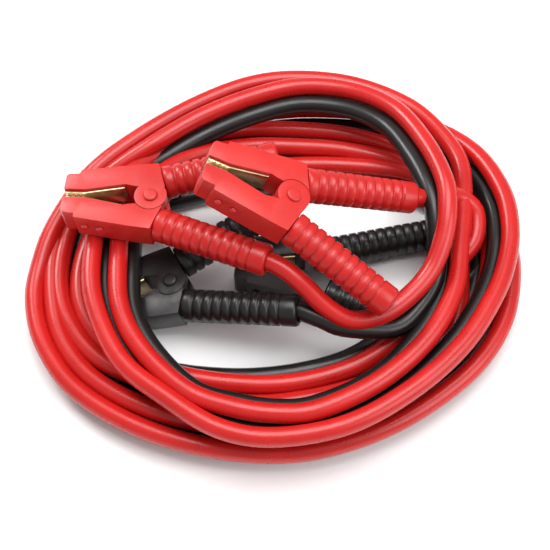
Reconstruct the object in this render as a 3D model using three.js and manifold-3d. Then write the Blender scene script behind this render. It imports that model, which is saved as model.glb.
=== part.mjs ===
// Car jumper cable: a red and a black conductor in one loose coil, with a sprung battery clamp
// on each of their four ends. Millimetres, +Z up, lying on the plane z = 0.
import * as THREE from "three";
import { mergeVertices } from "three/addons/utils/BufferGeometryUtils.js";
import Module from "manifold-3d";

const wasm = await Module();
wasm.setup();

// Driving dimensions of a clamp. Its own frame has the pivot at the origin, the jaws towards -X,
// the grips towards +X, and the pivot pin along Z.
const FIT_GAP = 0.3;
const JAW_LENGTH = 67;
const JAW_HEIGHT = 23;
const JAW_TIP_WIDTH = 17.5;
const JAW_STEP_X = 56;
const JAW_SHOULDER_WIDTH = 21.5;
const JAW_BACK_WIDTH = 28;
const BITE_LENGTH = 17;
const MOUTH_HALF_WIDTH = 9.5;
const MOUTH_BACK_X = 20;
const PLATE_THICKNESS = 1.6;
const PLATE_HEIGHT = 18;
const TOOTH_HEIGHT = 1.5;
const TOOTH_COUNT = 4;
const CHEEK_RADIUS = 12.4;
const CHEEK_THICKNESS = 3.2;
const SPRING_HEIGHT = 8.6;
const SPRING_OUTER_RADIUS = 7.5;
const PIN_RADIUS = 3;
const PIN_HEAD_RADIUS = 5.5;
const PIN_HEAD_THICKNESS = 1.5;
const RIVET_RADIUS = 1.6;
const RIVET_HEAD_RADIUS = 3;
const RIVET_XS = [49, 37];

// Grips: ribbed sleeves pushed over the handle of each jaw.
const GRIP_START = [7, 19];
const GRIP_ANGLE = THREE.MathUtils.degToRad(18.5);
const GRIP_LENGTH = 90;
const GRIP_ROOT_RADIUS = 13;
const GRIP_END_RADIUS = 12.2;
const GRIP_BORE_RADIUS = 10;
const GRIP_BORE_DEPTH = 64;
const GRIP_END_ROUND = 2;
const HANDLE_LENGTH = 60;
const HANDLE_SIZE = [14, 12];

// Cable and coil. The coil lies in two layers of twin cable, one on the other.
const CABLE_DIAMETER = 15;
const CABLE_SIDES = 10;
const LAYER_HEIGHT = 28.8;
const COIL_HEIGHT = 56;

// Where each clamp lies: pivot in the coil's frame, heading about Z, fall of the grips, and the side
// its conductor leaves from (+1 is +Y of the clamp).
const CLAMPS = [
  { name: "red_clamp_1", red: true, pivot: [-93.5, 33, 72], heading: -4, fall: -3, cableSide: -1 },
  { name: "red_clamp_2", red: true, pivot: [10, 12, 105], heading: -14, fall: 20, cableSide: 1 },
  { name: "black_clamp_1", red: false, pivot: [-78, -15, 28.4], heading: 9, fall: -13.5, cableSide: -1 },
  { name: "black_clamp_2", red: false, pivot: [36, 6, 13.3], heading: -6, fall: 0, cableSide: 1 },
];

// Outlines of the coil's layers, seen from above, through the outermost and innermost strands.
const COIL_OUTSIDE = [
  [0, 181], [60, 178], [110, 158], [150, 129], [178, 90], [192, 40], [196, 0], [188, -35],
  [160, -86], [115, -122], [50, -150], [-5, -159], [-70, -149], [-130, -122], [-175, -80],
  [-195, -25], [-192, 20], [-172, 66], [-130, 113], [-70, 156],
];
const LOWER_INSIDE = [
  [0, 93], [40, 90], [75, 79], [102, 62], [116, 35], [117, 5], [112, -25], [92, -52], [60, -70],
  [0, -80], [-55, -74], [-95, -58], [-110, -30], [-111, 20], [-103, 55], [-80, 80], [-45, 91],
];
const UPPER_INSIDE = [
  [0, 134], [45, 132], [80, 120], [103, 97], [115, 65], [117, 25], [116, -10], [108, -40],
  [80, -78], [40, -100], [-10, -110], [-60, -100], [-95, -75], [-110, -35], [-111, 20],
  [-104, 62], [-78, 100], [-40, 127],
];

// Rooms under the coil for the jaws of the first black clamp and the grips of the second one.
const CLAMP_ROOMS = [
  { from: [-156, -62], to: [-60, 46], top: 42 },
  { from: [60, -68], to: [163, 66], top: 27 },
];

// Free stretches of cable between a grip and the coil, as routes in the coil's frame. The first
// point follows from the clamp.
const LEAD_ROUTES = {
  red_clamp_1: [[30, -46, 66], [48, -64, 64.2], [66, -82, 64]],
  red_clamp_2: [[122, 39, 66.5], [134, 39, 64], [150, 37, 64]],
  black_clamp_1: [[32, -68, 36]],
  black_clamp_2: [],
};

// Materials.
const finish = (color, roughness, metalness) =>
  new THREE.MeshStandardMaterial({ color, roughness, metalness });
const FINISHES = {
  redCover: finish(0xd63a30, 0.42, 0),
  blackCover: finish(0x1b191a, 0.45, 0),
  redGrip: finish(0xcf2a24, 0.4, 0),
  blackGrip: finish(0x171516, 0.4, 0),
  brass: finish(0xb89a5c, 0.35, 1),
  steel: finish(0xb9b9b6, 0.3, 1),
  redCable: finish(0xd92a25, 0.35, 0),
};

// A closed three.js geometry as a solid that can be joined and cut.
function solid(geometry) {
  const bare = geometry.clone();
  for (const name of Object.keys(bare.attributes)) {
    if (name !== "position") bare.deleteAttribute(name);
  }
  const merged = mergeVertices(bare, 1e-4);
  return new wasm.Manifold(
    new wasm.Mesh({
      numProp: 3,
      vertProperties: merged.attributes.position.array,
      triVerts: new Uint32Array(merged.index.array),
    }),
  );
}

function geometryOf(manifold) {
  const mesh = manifold.getMesh();
  const geometry = new THREE.BufferGeometry();
  geometry.setAttribute("position", new THREE.BufferAttribute(mesh.vertProperties, 3));
  geometry.setIndex(new THREE.BufferAttribute(mesh.triVerts, 1));
  geometry.computeVertexNormals();
  return geometry;
}

// An outline in XY, extruded symmetrically about z = 0.
function slab(points, height) {
  const shape = new THREE.Shape(points.map(([x, y]) => new THREE.Vector2(x, y)));
  const geometry = new THREE.ExtrudeGeometry(shape, { depth: height, bevelEnabled: false });
  return geometry.translate(0, 0, -height / 2);
}

// A cylinder along Z between two heights.
function upright(radius, bottom, top, sides = 24) {
  const geometry = new THREE.CylinderGeometry(radius, radius, top - bottom, sides);
  return geometry.rotateX(Math.PI / 2).translate(0, 0, (top + bottom) / 2);
}

// The outline of one jaw for the side s (+1 or -1), from the bite along the back to the grip.
const gripDirection = (s) => new THREE.Vector2(Math.cos(GRIP_ANGLE), s * Math.sin(GRIP_ANGLE));
const gripStart = (s) => new THREE.Vector2(GRIP_START[0], s * GRIP_START[1]);
const biteLevel = TOOTH_HEIGHT + PLATE_THICKNESS + 2 * FIT_GAP;

function jawOutline(s) {
  const across = new THREE.Vector2(-s * gripDirection(s).y, s * gripDirection(s).x);
  const rear = gripStart(s).addScaledVector(gripDirection(s), -2 * FIT_GAP);
  const rearOuter = rear.clone().addScaledVector(across, JAW_HEIGHT / 2);
  const rearInner = rear.clone().addScaledVector(across, -JAW_HEIGHT / 2);
  return [
    [-JAW_LENGTH, s * biteLevel],
    [-JAW_LENGTH, s * (JAW_TIP_WIDTH - 2)],
    [-JAW_LENGTH + 2, s * JAW_TIP_WIDTH],
    [-JAW_STEP_X - 0.5, s * (JAW_TIP_WIDTH + 0.5)],
    [-JAW_STEP_X, s * JAW_SHOULDER_WIDTH],
    [-CHEEK_RADIUS, s * JAW_BACK_WIDTH],
    [rearOuter.x, rearOuter.y],
    [rearInner.x, rearInner.y],
    [5, s * CHEEK_RADIUS * 0.45],
    [-MOUTH_BACK_X + 4, s * (MOUTH_HALF_WIDTH - 1)],
    [-MOUTH_BACK_X, s * MOUTH_HALF_WIDTH],
    [-JAW_LENGTH + BITE_LENGTH, s * biteLevel],
  ];
}

// Levels of the cheeks about the pin: the spring lies inside, the cable jaw's cheeks lie over it,
// and the free jaw's cheeks lie outside those.
const springTop = SPRING_HEIGHT / 2;
const innerCheek = [springTop + FIT_GAP, springTop + FIT_GAP + CHEEK_THICKNESS];
const outerCheek = [innerCheek[1] + FIT_GAP, JAW_HEIGHT / 2];
const sweepRadius = CHEEK_RADIUS + 0.6;

function rivetPlace(s, x) {
  const slope = (JAW_BACK_WIDTH - JAW_SHOULDER_WIDTH) / (JAW_STEP_X - CHEEK_RADIUS);
  const y = JAW_SHOULDER_WIDTH + slope * (JAW_STEP_X - x);
  return { x: -x, y: s * y, turn: s * Math.atan(slope) };
}

function placeAcross(geometry, s, x) {
  const place = rivetPlace(s, x);
  geometry.rotateZ(s > 0 ? 0 : Math.PI);
  return geometry.rotateZ(place.turn).translate(place.x, place.y, 0);
}

// One jaw: its moulded cover with its cheeks and its handle in one piece.
function jaw(s, cheek) {
  let body = solid(slab(jawOutline(s), JAW_HEIGHT));
  body = body.subtract(solid(upright(sweepRadius, -JAW_HEIGHT, JAW_HEIGHT)));
  for (const [low, high] of [cheek, [-cheek[1], -cheek[0]]]) {
    const disc = solid(upright(CHEEK_RADIUS, low, high));
    const web = solid(slab(jawOutline(s), high - low).translate(0, 0, (low + high) / 2));
    body = body.add(disc).add(web);
  }
  const handle = new THREE.BoxGeometry(HANDLE_LENGTH + 8, HANDLE_SIZE[0], HANDLE_SIZE[1]);
  handle.translate((HANDLE_LENGTH - 8) / 2, 0, 0);
  handle.rotateZ(s * GRIP_ANGLE).translate(gripStart(s).x, gripStart(s).y, 0);
  body = body.add(solid(handle).subtract(solid(upright(sweepRadius, -JAW_HEIGHT, JAW_HEIGHT))));
  body = body.subtract(solid(upright(PIN_RADIUS + FIT_GAP, -JAW_HEIGHT, JAW_HEIGHT)));
  for (const x of RIVET_XS) {
    const hole = new THREE.CylinderGeometry(RIVET_RADIUS + FIT_GAP, RIVET_RADIUS + FIT_GAP, 60, 10);
    body = body.subtract(solid(placeAcross(hole, s, x)));
  }
  return geometryOf(body);
}

// The toothed jaw plate that lines the bite and the mouth.
function jawPlate(s) {
  const back = biteLevel - FIT_GAP;
  const slope = (MOUTH_HALF_WIDTH - biteLevel) / (JAW_LENGTH - BITE_LENGTH - MOUTH_BACK_X);
  const biteEnd = -JAW_LENGTH + BITE_LENGTH;
  const points = [
    [-JAW_LENGTH + 0.5, s * back],
    [biteEnd, s * back],
    [-MOUTH_BACK_X - 1, s * (MOUTH_HALF_WIDTH - FIT_GAP - slope)],
    [-MOUTH_BACK_X - 1, s * (MOUTH_HALF_WIDTH - FIT_GAP - slope - PLATE_THICKNESS)],
    [biteEnd + 2, s * (back - PLATE_THICKNESS + 2 * slope)],
  ];
  const pitch = (BITE_LENGTH - 2) / TOOTH_COUNT;
  for (let i = 0; i < TOOTH_COUNT; i += 1) {
    const x = biteEnd - i * pitch;
    points.push([x, s * (back - PLATE_THICKNESS)]);
    points.push([x - pitch / 2, s * (back - PLATE_THICKNESS - TOOTH_HEIGHT)]);
  }
  points.push([-JAW_LENGTH + 0.5, s * (back - PLATE_THICKNESS)]);
  return slab(points, PLATE_HEIGHT);
}

function rivet(s, x) {
  const wall = rivetPlace(s, x);
  const shankLength = Math.abs(wall.y) - MOUTH_HALF_WIDTH;
  const profile = [
    [0, -shankLength], [RIVET_RADIUS, -shankLength], [RIVET_RADIUS, FIT_GAP],
    [RIVET_HEAD_RADIUS, FIT_GAP], [RIVET_HEAD_RADIUS * 0.87, FIT_GAP + 1], [RIVET_HEAD_RADIUS * 0.5, FIT_GAP + 1.6],
    [0, FIT_GAP + 1.8],
  ];
  const geometry = new THREE.LatheGeometry(profile.map(([r, y]) => new THREE.Vector2(r, y)), 10);
  return placeAcross(geometry, s, x);
}

function pivotPin() {
  const half = JAW_HEIGHT / 2 + FIT_GAP;
  const head = half + PIN_HEAD_THICKNESS;
  const profile = [
    [0, -head], [PIN_HEAD_RADIUS - 1, -head], [PIN_HEAD_RADIUS, -head + 0.7], [PIN_HEAD_RADIUS, -half],
    [PIN_RADIUS, -half], [PIN_RADIUS, half],
    [PIN_HEAD_RADIUS, half], [PIN_HEAD_RADIUS, head - 0.7], [PIN_HEAD_RADIUS - 1, head], [0, head],
  ];
  const points = profile.map(([r, y]) => new THREE.Vector2(r, y));
  return new THREE.LatheGeometry(points, 16).rotateX(Math.PI / 2);
}

// The torsion spring: its coils as one ring round the pin, with a leg along each handle.
function spring() {
  const inner = PIN_RADIUS + FIT_GAP;
  const profile = [
    [inner, -springTop], [SPRING_OUTER_RADIUS, -springTop], [SPRING_OUTER_RADIUS, springTop],
    [inner, springTop], [inner, -springTop],
  ];
  const points = profile.map(([r, y]) => new THREE.Vector2(r, y));
  let body = solid(new THREE.LatheGeometry(points, 20).rotateX(Math.PI / 2));
  for (const s of [1, -1]) {
    const leg = new THREE.BoxGeometry(CHEEK_RADIUS - inner - 1, 1.8, 1.8);
    leg.translate((CHEEK_RADIUS + inner) / 2, 0, s * (springTop - 1.2));
    body = body.add(solid(leg.rotateZ(s * 0.9)));
  }
  return geometryOf(body);
}

// A grip: a sleeve with a bore for the handle, and on the cable side a hole for the cable.
const cableSocket = 6;

function grip(s, takesCable) {
  const hole = CABLE_DIAMETER / 2 + 2 * FIT_GAP;
  const outer = [
    [GRIP_ROOT_RADIUS, 0],
    [GRIP_END_RADIUS, GRIP_LENGTH - GRIP_END_ROUND],
    [GRIP_END_RADIUS - GRIP_END_ROUND, GRIP_LENGTH],
  ];
  const inner = takesCable
    ? [[hole, GRIP_LENGTH], [hole, GRIP_BORE_DEPTH + 6], [GRIP_BORE_RADIUS, GRIP_BORE_DEPTH]]
    : [[0, GRIP_LENGTH], [0, GRIP_BORE_DEPTH], [GRIP_BORE_RADIUS, GRIP_BORE_DEPTH]];
  const profile = [...outer, ...inner, [GRIP_BORE_RADIUS, 0], [GRIP_ROOT_RADIUS, 0]];
  const points = profile.map(([r, y]) => new THREE.Vector2(r, y));
  const geometry = new THREE.LatheGeometry(points, 16);
  geometry.rotateZ(-Math.PI / 2).rotateZ(s * GRIP_ANGLE);
  return geometry.translate(gripStart(s).x, gripStart(s).y, 0);
}

function named(name, geometry, material) {
  const mesh = new THREE.Mesh(geometry, material);
  mesh.name = name;
  return mesh;
}

function clamp({ name, red, pivot, heading, fall, cableSide }) {
  const group = new THREE.Group();
  const cover = red ? FINISHES.redCover : FINISHES.blackCover;
  const sleeve = red ? FINISHES.redGrip : FINISHES.blackGrip;
  for (const half of ["cable", "free"]) {
    const s = half === "cable" ? cableSide : -cableSide;
    const cheek = half === "cable" ? innerCheek : outerCheek;
    group.add(named(`${name}_${half}_jaw`, jaw(s, cheek), cover));
    group.add(named(`${name}_${half}_jaw_plate`, jawPlate(s), FINISHES.brass));
    group.add(named(`${name}_${half}_grip`, grip(s, half === "cable"), sleeve));
    RIVET_XS.forEach((x, i) => {
      group.add(named(`${name}_${half}_rivet_${i + 1}`, rivet(s, x), FINISHES.steel));
    });
  }
  group.add(named(`${name}_pivot_pin`, pivotPin(), FINISHES.steel));
  group.add(named(`${name}_spring`, spring(), FINISHES.steel));
  group.position.set(...pivot);
  group.rotation.set(0, THREE.MathUtils.degToRad(fall), THREE.MathUtils.degToRad(heading), "ZYX");
  group.updateMatrixWorld(true);
  return group;
}

// One layer of the coil, as a plate of its outer shape.
function smoothPlate(points, bottom, top) {
  const curve = new THREE.CatmullRomCurve3(
    points.map(([x, y]) => new THREE.Vector3(x, y, 0)), true, "centripetal",
  );
  const outline = curve.getPoints(points.length * 2).slice(0, -1);
  const shape = new THREE.Shape(outline.map((p) => new THREE.Vector2(p.x, p.y)));
  const geometry = new THREE.ExtrudeGeometry(shape, { depth: top - bottom, bevelEnabled: false });
  return solid(geometry.translate(0, 0, bottom));
}

function coilLayer(outside, inside, bottom, top) {
  return smoothPlate(outside, bottom, top).subtract(smoothPlate(inside, bottom - 1, top + 1));
}

function cableCoil() {
  let body = coilLayer(COIL_OUTSIDE, LOWER_INSIDE, 0, LAYER_HEIGHT);
  body = body.add(coilLayer(COIL_OUTSIDE, UPPER_INSIDE, LAYER_HEIGHT, COIL_HEIGHT));
  for (const { from, to, top } of CLAMP_ROOMS) {
    const room = new THREE.BoxGeometry(to[0] - from[0], to[1] - from[1], 2 * top);
    body = body.subtract(solid(room.translate((to[0] + from[0]) / 2, (to[1] + from[1]) / 2, 0)));
  }
  return geometryOf(body);
}

// A free stretch of cable, from inside a grip along its route.
function lead(clampGroup, side, route) {
  const at = (distance) => {
    const d = gripDirection(side);
    const p = gripStart(side).addScaledVector(d, distance);
    return new THREE.Vector3(p.x, p.y, 0).applyMatrix4(clampGroup.matrixWorld);
  };
  const points = [at(GRIP_LENGTH - cableSocket), at(GRIP_LENGTH), at(GRIP_LENGTH + 9)];
  route.forEach(([x, y, z]) => points.push(new THREE.Vector3(x, y, z)));
  const curve = new THREE.CatmullRomCurve3(points, false, "centripetal");
  const section = new THREE.Shape();
  section.absarc(0, 0, CABLE_DIAMETER / 2, 0, 2 * Math.PI);
  const steps = Math.max(3, Math.round(curve.getLength() / 16));
  return new THREE.ExtrudeGeometry(section, {
    extrudePath: curve, steps, curveSegments: CABLE_SIDES / 2, bevelEnabled: false,
  });
}

const cable = new THREE.Group();
const clamps = new THREE.Group();
cable.add(named("cable_coil", cableCoil(), FINISHES.redCable));
for (const spec of CLAMPS) {
  const group = clamp(spec);
  clamps.add(group);
  const geometry = lead(group, spec.cableSide, LEAD_ROUTES[spec.name]);
  const material = spec.red ? FINISHES.redCable : FINISHES.blackGrip;
  cable.add(named(`${spec.name.replace("clamp", "lead")}`, geometry, material));
}

// The origin is at the middle of the clamps' footprint.
const jumperCable = new THREE.Group();
jumperCable.add(clamps, cable);
jumperCable.updateMatrixWorld(true);
const footprint = new THREE.Box3().setFromObject(clamps, true);
const middle = footprint.getCenter(new THREE.Vector3());
jumperCable.position.set(-middle.x, -middle.y, 0);

export default jumperCable;
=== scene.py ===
# %% [markdown]
# A car jumper cable lying in a loose coil: a red and a black cable side by side, wound about six
# times, with a sprung battery clamp on each of the four ends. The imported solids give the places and
# sizes. Here each piece gets the shape and finish that make it look real.

# %% Load the frame
import math

import bmesh
import bpy
from mathutils import Matrix, Vector


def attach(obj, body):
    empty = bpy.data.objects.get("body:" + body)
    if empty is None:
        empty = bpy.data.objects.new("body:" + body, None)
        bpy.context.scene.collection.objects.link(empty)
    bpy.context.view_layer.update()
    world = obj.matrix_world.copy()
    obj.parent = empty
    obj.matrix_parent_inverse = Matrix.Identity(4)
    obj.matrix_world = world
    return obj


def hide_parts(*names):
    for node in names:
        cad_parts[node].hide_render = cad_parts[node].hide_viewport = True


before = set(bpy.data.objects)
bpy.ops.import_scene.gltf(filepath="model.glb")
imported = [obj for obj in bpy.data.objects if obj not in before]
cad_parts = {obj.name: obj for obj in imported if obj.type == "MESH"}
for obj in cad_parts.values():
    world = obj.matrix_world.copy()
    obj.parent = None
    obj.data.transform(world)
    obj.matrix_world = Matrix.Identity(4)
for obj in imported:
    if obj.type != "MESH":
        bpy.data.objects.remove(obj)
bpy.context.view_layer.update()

MM = 0.001
COIL_MIDDLE = Vector((0, 0, 0))
SHIFT = Vector((13.45, -10.44, 0.0))  # from the coil's middle to the row's origin

# %% [markdown]
# The photograph looks down on the coil at about sixty degrees with a long lens, so the camera hangs
# in front of and above the coil and looks down at it, thirty degrees off the vertical.

# %% Camera
CAMERA_LENS = 70.4
CAMERA_SENSOR = 36.0
CAMERA_TILT = math.radians(30)
CAMERA_PLACE = (Vector((0.0, -425.0, 756.1)) + SHIFT) * MM
camera_data = bpy.data.cameras.new("camera")
camera_data.lens = CAMERA_LENS
camera_data.sensor_width = CAMERA_SENSOR
camera = bpy.data.objects.new("camera", camera_data)
camera.location = CAMERA_PLACE
camera.rotation_euler = (CAMERA_TILT, 0, 0)
bpy.context.scene.collection.objects.link(camera)
bpy.context.scene.camera = camera
print("camera at", tuple(round(v, 3) for v in CAMERA_PLACE))

# %% [markdown]
# Cables this thick lie in big arcs. The route of the red cable is a short list of places, from the
# first red clamp to the second, in millimetres. Two layers of turns lie on each other, and the line
# through the places is a smooth curve. Each row holds x, y, z and how far the black cable lies
# inwards of the red one, which it follows all the way a little lower.

# %% The red cable's route
RED_HEAD = [(-10, -18.4, 76.6)]
ROUTE = [
    (5, -26, 76, -9), (20, -37, 71, -10), (36, -50, 62, -11), (56, -58, 54, -11),
    (80, -52, 52, -11), (101, -37, 55, -9), (117, -19, 61, -4), (126, 1, 71, 3),
    (130, 23, 80, 8), (129, 48, 83, 11),
    (118, 86, 78, 13), (97, 126, 70, 13), (63, 150, 64, 13), (21, 157, 61, 13), (-20, 148, 58, 12),
    (-62, 130, 54, 11), (-101, 104, 50, 10), (-135, 82, 40, 9),
    (-158, 58, 28, 9), (-168, 31, 22, 9), (-169, -10, 21, 9), (-157, -45, 21, 9),
    (-131, -75, 21, 9), (-86, -95, 21, 9), (-55, -105, 21, 8), (-18, -111, 21, 8), (18, -108, 21, 8), (55, -99, 21, 8),
    (94, -84, 21, 9), (125, -60, 21, 9), (150, -37, 21, 9), (165, -12, 21, 9), (171, 24, 21, 9),
    (164, 56, 21, 9), (145, 80, 22, 8), (112, 104, 23, 11), (63, 118, 24, 12), (21, 121, 26, 12),
    (-25, 118, 30, 11), (-70, 101, 38, 9), (-102, 68, 46, 9), (-118, 34, 50, 9),
    (-120, 0, 50, 9), (-116, -43, 50, 9), (-98, -79, 50, 9), (-64, -112, 50, 8), (-31, -125, 50, 9),
    (0, -130, 50, 9), (31, -127, 50, 9), (75, -105, 50, 8), (112, -71, 50, 9), (135, -30, 50, 9),
    (143, 12, 50, 9), (148, 44, 50, 8), (150, 83, 49, 9), (139, 113, 48, 10), (112, 146, 48, 11),
    (68, 169, 48, 11), (21, 176, 48, 11), (-21, 170, 48, 11), (-67, 149, 46, 10),
    (-115, 115, 44, 9), (-150, 82, 40, 8), (-176, 40, 30, 9), (-186, 5, 23, 9), (-187, -25, 21, 9),
    (-176, -61, 21, 9), (-150, -97, 21, 9), (-105, -126, 21, 8), (-54, -143, 21, 8),
    (0, -149, 21, 8), (46, -142, 21, 8), (96, -121, 21, 8), (145, -85, 21, 9), (174, -46, 21, 9),
    (186, -5, 21, 9), (186, 30, 21, 9), (172, 72, 21, 9), (144, 102, 22, 9), (99, 124, 22, 11),
    (55, 138, 22, 11), (4, 142, 23, 11), (-35, 138, 27, 11), (-78, 119, 36, 9), (-114, 84, 44, 8),
    (-135, 45, 49, 9), (-140, 5, 50, 9), (-136, -38, 50, 9), (-113, -87, 50, 9),
    (-78, -117, 50, 8), (-40, -141, 50, 9), (0, -148, 50, 9), (52, -138, 50, 9),
    (100, -110, 50, 8), (138, -75, 50, 9), (164, -36, 50, 9), (177, -5, 50, 9), (183, 25, 50, 9),
    (181, 60, 48, 8), (166, 100, 42, 9), (138, 133, 32, 10), (95, 157, 23, 10), (48, 165, 21, 10),
    (0, 163, 21, 10), (-60, 147, 21, 10), (-115, 112, 21, 9), (-155, 75, 21, 8), (-174, 30, 21, 9),
    (-174, -15, 21, 9), (-162, -58, 21, 9), (-134, -92, 21, 9), (-85, -117, 21, 8),
    (-30, -128, 21, 8), (20, -127, 21, 8), (75, -110, 21, 8), (118, -78, 21, 9), (140, -38, 21, 9),
    (147, 5, 21, 9), (150, 45, 21, 9), (140, 80, 21, 9), (110, 98, 21, 11), (60, 105, 21, 11),
    (10, 105, 21, 11), (-50, 97, 21, 10), (-105, 78, 21, 9), (-140, 50, 21, 8), (-153, 10, 21, 9),
    (-150, -28, 21, 9), (-128, -62, 21, 9), (-90, -82, 21, 8), (-40, -93, 21, 10),
    (10, -94, 21, 12), (56, -82, 22, 12), (88, -62, 24, 11), (112, -40, 27, 9), (130, -14, 31, 8),
]
RED_TAIL = [(143, 4, 35), (157, 22, 38), (158, 44, 45), (143, 52, 54), (124, 43, 65),
            (109, 38, 72.2), (100, 36, 75.3)]
# The black cable starts from its own clamp and joins the red one at this row of the route.
BLACK_JOINS_AT = 4
BLACK_HEAD = [(11, -45, 48.4), (19, -48.3, 50.2), (34, -55, 51), (52, -61, 48)]
BLACK_TAIL = [(137, -8, 10), (156, 4, 9), (170, 24, 9), (168, 46, 10), (151, 52, 12.5),
              (138, 46, 13.3), (127, 41.7, 13.3)]
print("places on the route", len(ROUTE))

# %% [markdown]
# A real cable has no corners. A Bezier curve with automatic handles would swell between uneven
# places, so the places are joined by a Catmull-Rom line with even steps, and a round bevel on the
# curve gives it its thickness. The black cable's line is worked out from the red one: shifted
# towards the middle of the coil by the row's fourth value, and down so that the two all but touch,
# but never below the floor.

# %% Lines through places
CABLE = 15.0
TWIN_SPACING = 15.3
LINE_STEP = 5.0


def smooth_line(places):
    line = []
    points = [Vector(p) for p in places]
    points = [2 * points[0] - points[1]] + points + [2 * points[-1] - points[-2]]
    for before, start, end, after in zip(points, points[1:], points[2:], points[3:]):
        steps = max(2, round((end - start).length / LINE_STEP))
        for i in range(steps):
            t = i / steps
            line.append(0.5 * (2 * start + (end - before) * t
                               + (2 * before - 5 * start + 4 * end - after) * t ** 2
                               + (3 * start - before - 3 * end + after) * t ** 3))
    line.append(points[-2])
    return line


def twin_place(x, y, z, inward):
    towards = Vector((COIL_MIDDLE.x - x, COIL_MIDDLE.y - y, 0)).normalized()
    down = math.sqrt(TWIN_SPACING ** 2 - inward ** 2)
    place = Vector((x, y, z)) + towards * inward
    place.z = max(CABLE / 2, z - down)
    return place


red_line = smooth_line(RED_HEAD + [row[:3] for row in ROUTE] + RED_TAIL)
black_line = smooth_line(
    BLACK_HEAD + [twin_place(*row) for row in ROUTE[BLACK_JOINS_AT:]] + BLACK_TAIL)


def length_of(line):
    return sum((b - a).length for a, b in zip(line, line[1:]))


print("red", round(length_of(red_line)), "black", round(length_of(black_line)))

# %% [markdown]
# Shader sums read best as plain sums, so one small class stands for a socket and turns the signs
# into Math nodes. Every other node comes from one method.

# %% Sockets as values
MIX_FACTOR, MIX_FIRST, MIX_SECOND, MIX_RESULT = 0, 6, 7, 2  # a Mix node's sockets for colours


class Value:
    def __init__(self, tree, socket):
        self.tree = tree
        self.socket = socket

    def math(self, operation, other, swapped=False):
        node = self.tree.nodes.new("ShaderNodeMath")
        node.operation = operation
        for place, term in zip(node.inputs, (other, self) if swapped else (self, other)):
            if isinstance(term, Value):
                self.tree.links.new(term.socket, place)
            else:
                place.default_value = term
        return Value(self.tree, node.outputs[0])

    def __add__(self, other):
        return self.math("ADD", other)

    def __mul__(self, other):
        return self.math("MULTIPLY", other)

    def __sub__(self, other):
        return self.math("SUBTRACT", other)

    def __rsub__(self, other):
        return self.math("SUBTRACT", other, swapped=True)

    __radd__ = __add__
    __rmul__ = __mul__


class Finish:
    def __init__(self, name):
        self.material = bpy.data.materials.new(name)
        self.material.use_nodes = True
        self.tree = self.material.node_tree
        self.shader = self.tree.nodes["Principled BSDF"]

    def node(self, kind, settings=None, **inputs):
        made = self.tree.nodes.new(kind)
        for key, value in (settings or {}).items():
            setattr(made, key, value)
        for key, value in inputs.items():
            socket = made.inputs[key.replace("_", " ")]
            if isinstance(value, Value):
                self.tree.links.new(value.socket, socket)
            else:
                socket.default_value = value
        return made

    def out(self, made, name):
        return Value(self.tree, made.outputs[name])

    def noise(self, scale, detail):
        places = self.out(self.node("ShaderNodeTexCoord"), "Object")
        made = self.node("ShaderNodeTexNoise", Vector=places, Scale=scale, Detail=detail)
        return self.out(made, "Fac")

    def mottled_color(self, dark, color, factor):
        mix = self.node("ShaderNodeMix", {"data_type": "RGBA"})
        mix.inputs[MIX_FIRST].default_value = (*dark, 1)
        mix.inputs[MIX_SECOND].default_value = (*color, 1)
        self.tree.links.new(factor.socket, mix.inputs[MIX_FACTOR])
        return Value(self.tree, mix.outputs[MIX_RESULT])

    def feed(self, name, value):
        self.tree.links.new(value.socket, self.shader.inputs[name])


# %% [markdown]
# The cable's jacket and the mouldings are PVC: one colour through and through, a little mottled,
# with a fine grain, soft gloss and slightly duller patches from handling. The metal is plated sheet
# and wire with fine wear.

# %% Finishes
MOTTLE_SCALE, HANDLING_SCALE, GRAIN_SCALE = 28.0, 90.0, 1400.0
WEAR_SCALE, SCRATCH_SCALE = 160.0, 900.0


def plastic(name, color, dark, roughness, grain):
    made = Finish(name)
    mottle = made.noise(MOTTLE_SCALE, 4.0)
    made.feed("Base Color", made.mottled_color(dark, color, mottle * 1.4 + -0.1))
    wear = made.noise(HANDLING_SCALE, 6.0)
    made.feed("Roughness", wear * 0.22 + (roughness - 0.11))
    fine = made.noise(GRAIN_SCALE, 2.0)
    bump = made.node("ShaderNodeBump", Strength=grain, Distance=0.0004, Height=fine + mottle * 0.6)
    made.feed("Normal", made.out(bump, "Normal"))
    return made.material


def metal(name, color, roughness):
    made = Finish(name)
    made.shader.inputs["Metallic"].default_value = 1.0
    patches = made.noise(WEAR_SCALE, 5.0)
    worn = [c * 0.6 for c in color]
    made.feed("Base Color", made.mottled_color(worn, color, patches * 1.5 + -0.1))
    made.feed("Roughness", patches * 0.25 + (roughness - 0.1))
    scratches = made.noise(SCRATCH_SCALE, 3.0)
    bump = made.node("ShaderNodeBump", Strength=0.15, Distance=0.0003, Height=scratches)
    made.feed("Normal", made.out(bump, "Normal"))
    return made.material


FINISHES = {
    "red_cable": plastic("red_cable", (0.60, 0.014, 0.012), (0.45, 0.008, 0.007), 0.30, 0.12),
    "black_cable": plastic("black_cable", (0.012, 0.011, 0.011), (0.006, 0.005, 0.005), 0.32, 0.12),
    "red_cover": plastic("red_cover", (0.64, 0.024, 0.020), (0.48, 0.015, 0.012), 0.36, 0.25),
    "black_cover": plastic("black_cover", (0.016, 0.014, 0.014), (0.008, 0.007, 0.007), 0.36, 0.25),
    "red_grip": plastic("red_grip", (0.58, 0.014, 0.012), (0.42, 0.008, 0.007), 0.33, 0.15),
    "black_grip": plastic("black_grip", (0.012, 0.011, 0.011), (0.006, 0.005, 0.005), 0.34, 0.15),
    "jaw_plate": metal("jaw_plate", (0.83, 0.68, 0.40), 0.30),
    "steel": metal("steel", (0.80, 0.79, 0.77), 0.27),
}
print("finishes", len(FINISHES))
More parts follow.
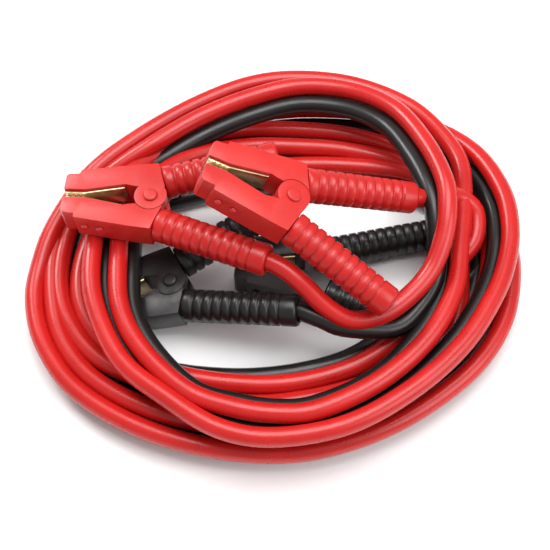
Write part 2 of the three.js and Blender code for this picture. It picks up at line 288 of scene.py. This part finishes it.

# %% [markdown]
# Every finished piece has its place in its mesh, rides on its body, takes its finish's slot, and
# hides the solids it stands for.

# %% Hand a piece to the frame
def present(piece, body, slot_name, nodes=()):
    piece.data.materials.clear()
    piece.data.materials.append(FINISHES[slot_name])
    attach(piece, body)
    if nodes:
        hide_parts(*nodes)
    return piece


def piece_from(form, name):
    mesh = bpy.data.meshes.new(name)
    form.to_mesh(mesh)
    form.free()
    piece = bpy.data.objects.new(name, mesh)
    bpy.context.scene.collection.objects.link(piece)
    return piece


# %% [markdown]
# Each cable is one open curve with a round bevel. Both its ends lie a little inside a grip, where
# the real one is held. It stands for the coil's solid and for the short stretches beside the grips.

# %% The two cables
ROOT = "cable_and_fixed_jaws"


def cable(name, line, slot_name, nodes):
    curve = bpy.data.curves.new(name, "CURVE")
    curve.dimensions = "3D"
    curve.bevel_depth = CABLE / 2 * MM
    curve.bevel_resolution = 3
    curve.use_fill_caps = True
    spline = curve.splines.new("POLY")
    spline.points.add(len(line) - 1)
    for point, place in zip(spline.points, line):
        point.co = (*((place + SHIFT) * MM), 1)
    spline.use_smooth = True
    piece = bpy.data.objects.new(name, curve)
    bpy.context.scene.collection.objects.link(piece)
    present(piece, ROOT, slot_name, nodes)
    tuple((line[0] + SHIFT) * MM)
    length_of(line) * MM
    return piece


cable("red_cable", red_line, "red_cable", ["cable_coil", "red_lead_1", "red_lead_2"])
cable("black_cable", black_line, "black_cable", ["cable_coil", "black_lead_1", "black_lead_2"])

# %% [markdown]
# Where a clamp lies: the place of its pivot, its heading and how far its grips fall. Jaws, plates,
# rivets and pin keep the solid's shape and get the rounded edges of a moulding or a pressing, so
# a copy of the solid is merged, its flat parts joined, and its sharp edges bevelled.

# %% Clamps
CLAMPS = {
    "red_clamp_1": {"pivot": (-93.5, 33, 72), "heading": -4, "fall": -3, "cable_side": -1},
    "red_clamp_2": {"pivot": (10, 12, 105), "heading": -14, "fall": 20, "cable_side": 1},
    "black_clamp_1": {"pivot": (-78, -15, 28.4), "heading": 9, "fall": -13.5, "cable_side": -1},
    "black_clamp_2": {"pivot": (36, 6, 13.3), "heading": -6, "fall": 0, "cable_side": 1},
}
SHARP = math.radians(32)


def clamp_place(clamp):
    turn = Matrix.Rotation(math.radians(clamp["heading"]), 4, "Z")
    fall = Matrix.Rotation(math.radians(clamp["fall"]), 4, "Y")
    return Matrix.Translation((Vector(clamp["pivot"]) + SHIFT) * MM) @ turn @ fall


def rounded_solid(node, width, segments, slot_name, body):
    form = bmesh.new()
    form.from_mesh(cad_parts[node].data)
    bmesh.ops.remove_doubles(form, verts=form.verts, dist=0.00002)
    bmesh.ops.dissolve_limit(form, angle_limit=math.radians(1), verts=form.verts, edges=form.edges)
    sharp = [e for e in form.edges if len(e.link_faces) == 2 and e.calc_face_angle(0) > SHARP]
    bmesh.ops.bevel(form, geom=sharp, offset=width * MM, offset_type="OFFSET", affect="EDGES",
                    segments=segments, profile=0.5, material=-1, clamp_overlap=True)
    bmesh.ops.triangulate(form, faces=[f for f in form.faces if len(f.verts) > 4])
    piece = piece_from(form, node + "_shape")
    piece.data.shade_smooth()
    for edge in piece.data.edges:
        edge.use_edge_sharp = False
    return present(piece, body, slot_name, [node])


# %% [markdown]
# A grip is a soft sleeve with ten grooves and a plain end band. Its outline from the root to the
# end is drawn once and spun about the handle's axis.

# %% Ribbed grips
GRIP_START = (7, 19)
GRIP_ANGLE = math.radians(18.5)
GRIP_LENGTH = 90.0
GRIP_ROOT, GRIP_END = 13.0, 12.2
RIBS = 10
RIB_DEPTH = 1.5
BAND = 12.0
CABLE_HOLE = 8.1


def grip_outline(takes_cable):
    pitch = (GRIP_LENGTH - BAND - 3) / RIBS
    outline = [(0.3, 10.0), (0.0, GRIP_ROOT - 1.2), (0.8, GRIP_ROOT - 0.2), (3, GRIP_ROOT)]
    for i in range(RIBS):
        start = 3 + i * pitch
        radius = GRIP_ROOT + (GRIP_END - GRIP_ROOT) * start / GRIP_LENGTH
        for along, drop in ((0.45, 0.0), (0.62, 0.1), (0.7, 0.9), (0.86, 0.9), (0.94, 0.1)):
            outline.append((start + along * pitch, radius - drop * RIB_DEPTH))
    outline += [(GRIP_LENGTH - BAND, GRIP_END), (GRIP_LENGTH - 2.4, GRIP_END),
                (GRIP_LENGTH - 0.7, GRIP_END - 0.7), (GRIP_LENGTH, GRIP_END - 2.4)]
    if takes_cable:
        outline += [(GRIP_LENGTH, CABLE_HOLE + 0.6), (GRIP_LENGTH - 0.6, CABLE_HOLE),
                    (GRIP_LENGTH - 16, CABLE_HOLE), (GRIP_LENGTH - 17, 0)]
    else:
        outline += [(GRIP_LENGTH, 4), (GRIP_LENGTH, 0)]
    return outline


def grip(name, clamp, side, takes_cable, slot_name, body):
    form = bmesh.new()
    places = [form.verts.new((x * MM, r * MM, 0)) for x, r in grip_outline(takes_cable)]
    edges = [form.edges.new(pair) for pair in zip(places, places[1:])]
    bmesh.ops.spin(form, geom=places + edges, cent=(0, 0, 0), axis=(1, 0, 0),
                   angle=2 * math.pi, steps=40, use_merge=True)
    bmesh.ops.remove_doubles(form, verts=form.verts, dist=0.00001)
    rim = [e for e in form.edges if len(e.link_faces) == 1]
    bmesh.ops.holes_fill(form, edges=rim, sides=0)
    bmesh.ops.recalc_face_normals(form, faces=form.faces)
    start = Matrix.Translation((GRIP_START[0] * MM, side * GRIP_START[1] * MM, 0))
    turned = clamp_place(clamp) @ start @ Matrix.Rotation(side * GRIP_ANGLE, 4, "Z")
    form.transform(turned)
    piece = piece_from(form, name + "_ribbed")
    piece.data.shade_smooth()
    return present(piece, body, slot_name, [name])


# %% [markdown]
# The torsion spring is round wire wound about the pin, with a short leg towards each handle. A
# helix of places on a curve with a round bevel gives the turns.

# %% Springs
WIRE = 1.9
SPRING_RADIUS = 6.3
SPRING_HEIGHT = 6.6
SPRING_TURNS = 4
STEPS_A_TURN = 18
FIRST_ANGLE = -0.9
EXTRA_ANGLE = 1.8
LEG_END = (9.3, 2.6)


def spring(name, clamp, slot_name):
    curve = bpy.data.curves.new(name, "CURVE")
    curve.dimensions = "3D"
    curve.bevel_depth = WIRE / 2 * MM
    curve.bevel_resolution = 2
    curve.use_fill_caps = True
    count = SPRING_TURNS * STEPS_A_TURN
    sweep = 2 * math.pi * SPRING_TURNS + EXTRA_ANGLE
    places = [Vector((LEG_END[0], -LEG_END[1], -SPRING_HEIGHT / 2))]
    for i in range(count + 1):
        angle = FIRST_ANGLE + sweep * i / count
        places.append(Vector((SPRING_RADIUS * math.cos(angle), SPRING_RADIUS * math.sin(angle),
                              SPRING_HEIGHT * (i / count - 0.5))))
    places.append(Vector((*LEG_END, SPRING_HEIGHT / 2)))
    spline = curve.splines.new("POLY")
    spline.points.add(len(places) - 1)
    for point, place in zip(spline.points, places):
        point.co = (*(clamp_place(clamp) @ (place * MM)), 1)
    spline.use_smooth = True
    piece = bpy.data.objects.new(name + "_wire", curve)
    bpy.context.scene.collection.objects.link(piece)
    return present(piece, ROOT, slot_name, [name])


# %% Every clamp
for clamp_name, clamp in CLAMPS.items():
    color = clamp_name.split("_")[0]
    for half in ("cable", "free"):
        takes_cable = half == "cable"
        side = clamp["cable_side"] if takes_cable else -clamp["cable_side"]
        body = ROOT if takes_cable else clamp_name + "_free_half"
        stem = f"{clamp_name}_{half}"
        rounded_solid(stem + "_jaw", 1.1, 3, color + "_cover", body)
        rounded_solid(stem + "_jaw_plate", 0.2, 1, "jaw_plate", body)
        grip(stem + "_grip", clamp, side, takes_cable, color + "_grip", body)
        for number in (1, 2):
            rounded_solid(f"{stem}_rivet_{number}", 0.25, 2, color + "_cover", body)
    rounded_solid(clamp_name + "_pivot_pin", 0.3, 2, color + "_cover", ROOT)
    spring(clamp_name + "_spring", clamp, "steel")
print("clamps", len(CLAMPS))

# %% [markdown]
# A pale floor, a broad light overhead, one from the upper left and a weak one from the right give
# the soft shadowless look of a catalogue picture.

# %% Floor and lights
form = bmesh.new()
bmesh.ops.create_grid(form, x_segments=1, y_segments=1, size=6.0)
floor = piece_from(form, "floor")
floor_finish = Finish("floor")
floor_finish.shader.inputs["Base Color"].default_value = (0.97, 0.97, 0.97, 1)
floor_finish.shader.inputs["Roughness"].default_value = 0.9
floor.data.materials.append(floor_finish.material)


def area_light(name, place, size, power):
    data = bpy.data.lights.new(name, "AREA")
    data.size = size
    data.energy = power
    lamp = bpy.data.objects.new(name, data)
    lamp.location = place
    lamp.rotation_euler = (Vector((0, 0, 0)) - Vector(place)).to_track_quat("-Z", "Y").to_euler()
    bpy.context.scene.collection.objects.link(lamp)
    return lamp


area_light("overhead", (0.1, 0.2, 1.6), 1.0, 20)
area_light("upper_left", (-1.0, 0.9, 1.1), 0.5, 14)
area_light("right", (1.1, -0.5, 0.9), 0.9, 9)
world = bpy.data.worlds.new("world")
bpy.context.scene.world = world
bpy.context.scene.view_settings.view_transform = "Standard"  # keeps the red as strong as it is
world.use_nodes = True
world.node_tree.nodes["Background"].inputs["Color"].default_value = (1, 1, 1, 1)
world.node_tree.nodes["Background"].inputs["Strength"].default_value = 0.45
